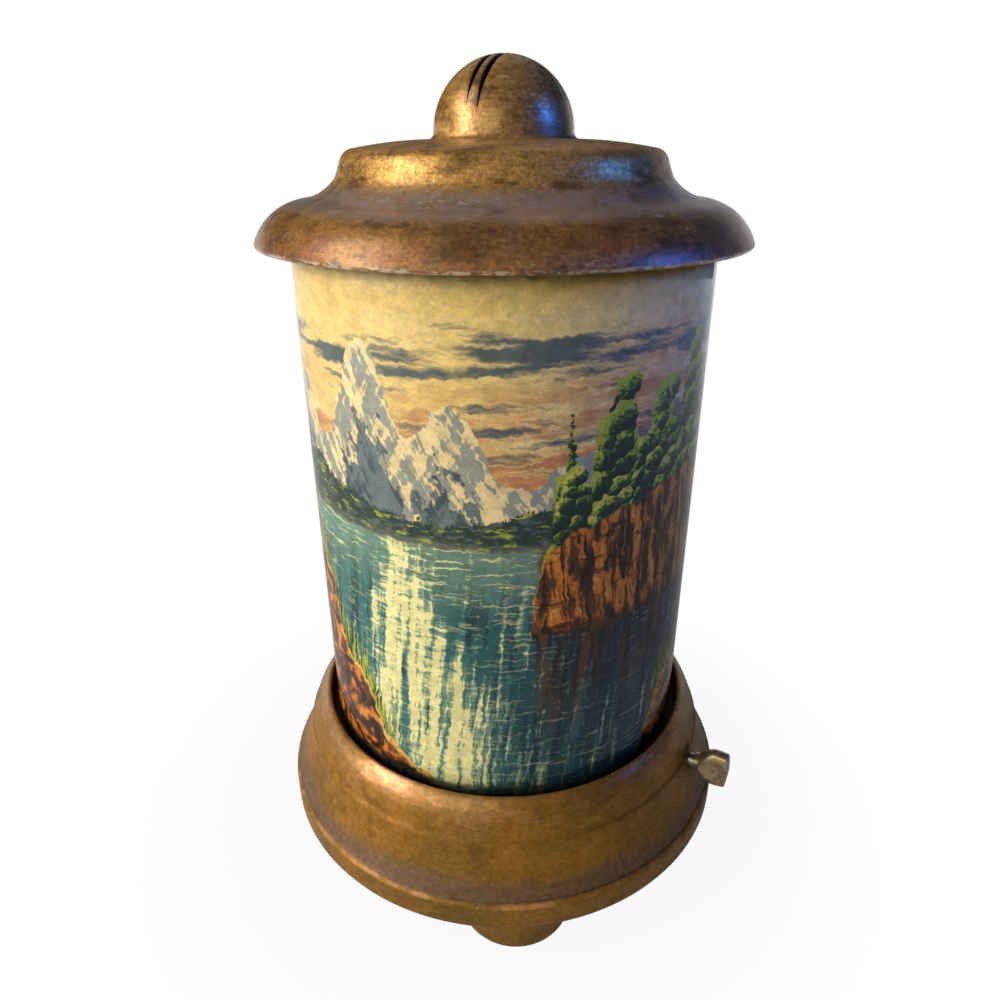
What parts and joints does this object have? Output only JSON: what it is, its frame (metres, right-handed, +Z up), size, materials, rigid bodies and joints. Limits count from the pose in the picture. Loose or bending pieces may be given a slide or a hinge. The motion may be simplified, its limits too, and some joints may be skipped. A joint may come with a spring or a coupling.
{
  "type": "motion lamp",
  "caption": "Table lamp with a turning shade behind a pictured glass cylinder, in a cast base with feet and under a cast cap with a slotted dome.",
  "frame": {"origin": "on the lamp's axis, in the plane of the feet's soles", "axes": "+Z up the lamp's axis; -Y towards the front foot; the switch key points 30 degrees from +X towards the front; the cord leaves at the rear, on +Y"},
  "size_m": [0.1612, 0.1612, 0.2534],
  "materials": {
    "base_paint": "bronze paint over cast metal, rubbed and darkened in the hollows",
    "cap_paint": "bronze paint over cast metal, worn, with gold mottling on the dome",
    "black_fibre": "hard black fibre",
    "brass": "spun brass, tarnished",
    "steel": "plain steel",
    "steel_wire": "drawn steel wire",
    "fibre_board": "rolled fibre board",
    "porcelain": "white glazed porcelain",
    "bulb_brass": "rolled brass screw cap",
    "bulb_glass": "clear blown glass",
    "stem_glass": "pressed lead glass",
    "tungsten": "drawn tungsten wire",
    "key_metal": "cast key, worn to bare metal, dull grey brass",
    "clear_glass": "clear glass cylinder, glossy",
    "picture_sheet": "translucent printed sheet with a painted lake scene",
    "fan_metal": "thin pressed aluminium",
    "cup_glass": "ground glass bearing cup",
    "rotor_sheet": "translucent sheet with slanted tinted bars"
  },
  "bodies": {
    "base": {"base_casting": "base_paint", "cord_bushing": "black_fibre", "socket_nipple": "brass", "nipple_locknut": "steel", "socket_cap": "brass", "socket_shell": "brass", "socket_liner": "fibre_board", "socket_body": "porcelain", "terminal_screws": "brass", "screw_shell": "brass", "centre_contact": "brass", "bulb_base": "bulb_brass", "bulb_glass": "bulb_glass", "bulb_stem": "stem_glass", "bulb_filament": "tungsten", "pivot_bracket": "steel_wire", "bracket_screw": "steel", "pivot_needle": "steel"},
    "switch": {"switch_key": "key_metal", "switch_shaft": "steel", "switch_cam": "black_fibre"},
    "glass": {"glass_cylinder": "clear_glass", "picture_sleeve": "picture_sheet"},
    "cap": {"cap_casting": "cap_paint"},
    "rotor": {"rotor_fan": "fan_metal", "rotor_cup": "cup_glass", "rotor_film": "rotor_sheet", "rotor_bead": "steel_wire"}
  },
  "joints": [
    {"name": "switch_turn", "type": "hinge", "parent": "base", "child": "switch", "pos_m": [0, 0, 0.0333], "axis": [0.866, -0.5, 0], "continuous": true},
    {"name": "glass_lift", "type": "slide", "parent": "base", "child": "glass", "axis": [0, 0, 1], "range_m": [0, 0.18]},
    {"name": "cap_lift", "type": "slide", "parent": "glass", "child": "cap", "axis": [0, 0, 1], "range_m": [0, 0.06]},
    {"name": "rotor_spin", "type": "hinge", "parent": "base", "child": "rotor", "pos_m": [0, 0, 0.1854], "axis": [0, 0, 1], "continuous": true}
  ]
}
